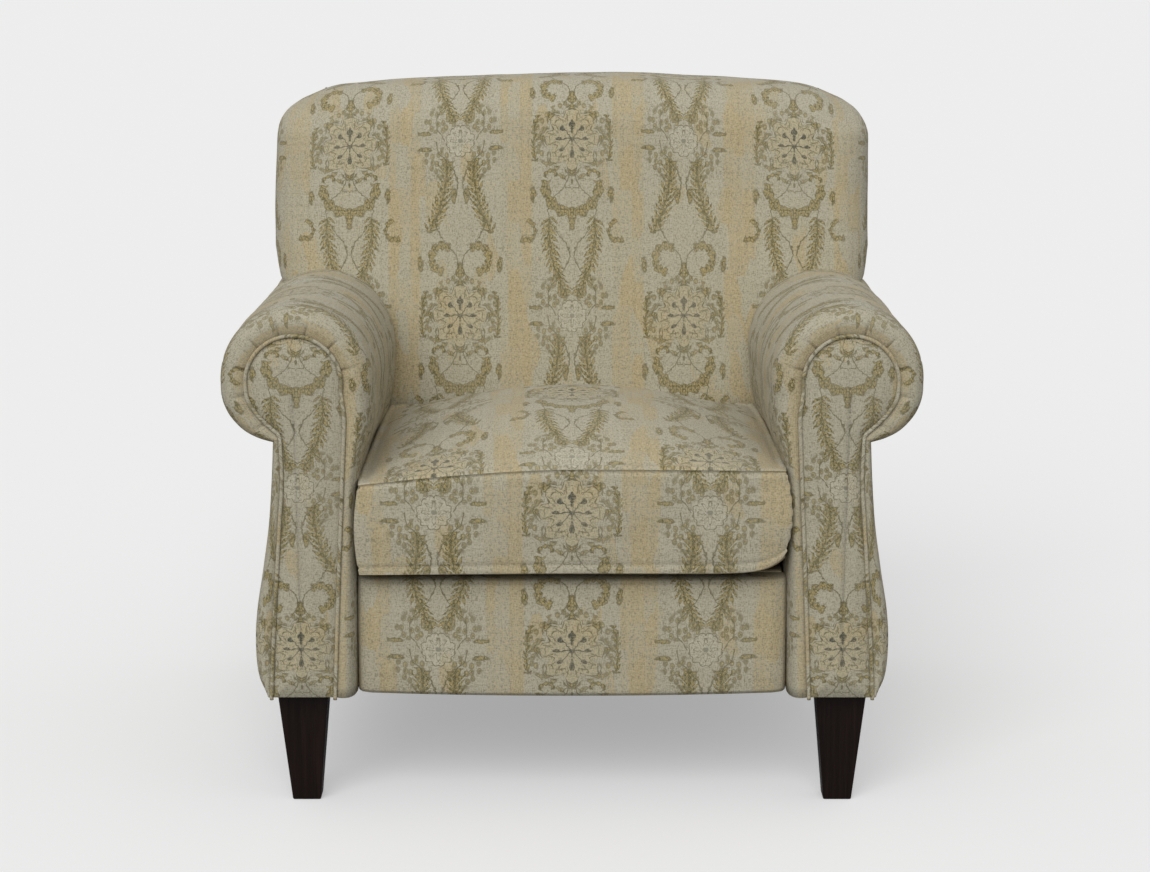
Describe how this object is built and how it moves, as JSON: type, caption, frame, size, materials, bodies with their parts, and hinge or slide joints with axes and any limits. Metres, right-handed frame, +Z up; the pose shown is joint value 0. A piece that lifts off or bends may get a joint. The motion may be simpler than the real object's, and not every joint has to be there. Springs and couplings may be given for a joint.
{
  "type": "rolled-arm armchair",
  "caption": "Upholstered armchair with rolled arms, keyhole arm facings, eared back, loose domed box cushion and square tapered wooden legs.",
  "frame": {"origin": "on the floor, under the middle of the chair's bounding box", "axes": "+Z up, the chair faces -Y, +X to the right as seen from the front"},
  "size_m": [0.9424, 0.8118, 0.911],
  "materials": {
    "printed_linen": "slubby linen weave, printed with faded ornament",
    "printed_linen_welt": "the same linen cut on the bias over a cord",
    "espresso_wood": "near-black brown stain, satin lacquer",
    "frame_hardwood": "raw sawn hardwood and plywood",
    "foam": "open-cell foam",
    "spring_steel": "plain drawn wire and pressed strip",
    "dust_cloth": "black non-woven cloth",
    "decking_cloth": "plain beige cotton",
    "jute_webbing": "woven jute tape",
    "zip_tape": "woven tape with a closed coil zip"
  },
  "bodies": {
    "root": {"arm_cover_left": "printed_linen", "arm_cover_right": "printed_linen", "arm_facing_left": "printed_linen", "arm_facing_right": "printed_linen", "arm_front_board_left": "frame_hardwood", "arm_front_board_right": "frame_hardwood", "arm_pad_left": "foam", "arm_pad_right": "foam", "arm_rear_post_left": "frame_hardwood", "arm_rear_post_right": "frame_hardwood", "arm_top_rail_left": "frame_hardwood", "arm_top_rail_right": "frame_hardwood", "arm_welt_left": "printed_linen_welt", "arm_welt_right": "printed_linen_welt", "back_bottom_rail": "frame_hardwood", "back_cover": "printed_linen", "back_pad": "foam", "back_side_frame_left": "frame_hardwood", "back_side_frame_right": "frame_hardwood", "back_strap_1": "jute_webbing", "back_strap_2": "jute_webbing", "back_strap_3": "jute_webbing", "back_strap_4": "jute_webbing", "back_top_rail": "frame_hardwood", "cushion_zip": "zip_tape", "deck_cloth": "decking_cloth", "deck_pad": "foam", "dust_cover": "dust_cloth", "front_rail": "frame_hardwood", "front_rail_cover": "printed_linen", "front_rail_pad": "foam", "leg_block_front_left": "frame_hardwood", "leg_block_front_right": "frame_hardwood", "leg_block_rear_left": "frame_hardwood", "leg_block_rear_right": "frame_hardwood", "leg_bolt_front_left": "spring_steel", "leg_bolt_front_right": "spring_steel", "leg_bolt_rear_left": "spring_steel", "leg_bolt_rear_right": "spring_steel", "leg_front_left": "espresso_wood", "leg_front_right": "espresso_wood", "leg_rear_left": "espresso_wood", "leg_rear_right": "espresso_wood", "lower_back_pad": "foam", "outside_arm_cover_left": "printed_linen", "outside_arm_cover_right": "printed_linen", "outside_back_cover": "printed_linen", "rear_seat_rail": "frame_hardwood", "rear_tack_rail": "frame_hardwood", "seat_cushion_core": "foam", "seat_cushion_cover": "printed_linen", "seat_spring_1": "spring_steel", "seat_spring_2": "spring_steel", "seat_spring_3": "spring_steel", "seat_spring_4": "spring_steel", "side_rail_left": "frame_hardwood", "side_rail_right": "frame_hardwood", "spring_clip_strip_front": "spring_steel", "spring_clip_strip_rear": "spring_steel"}
  },
  "joints": []
}
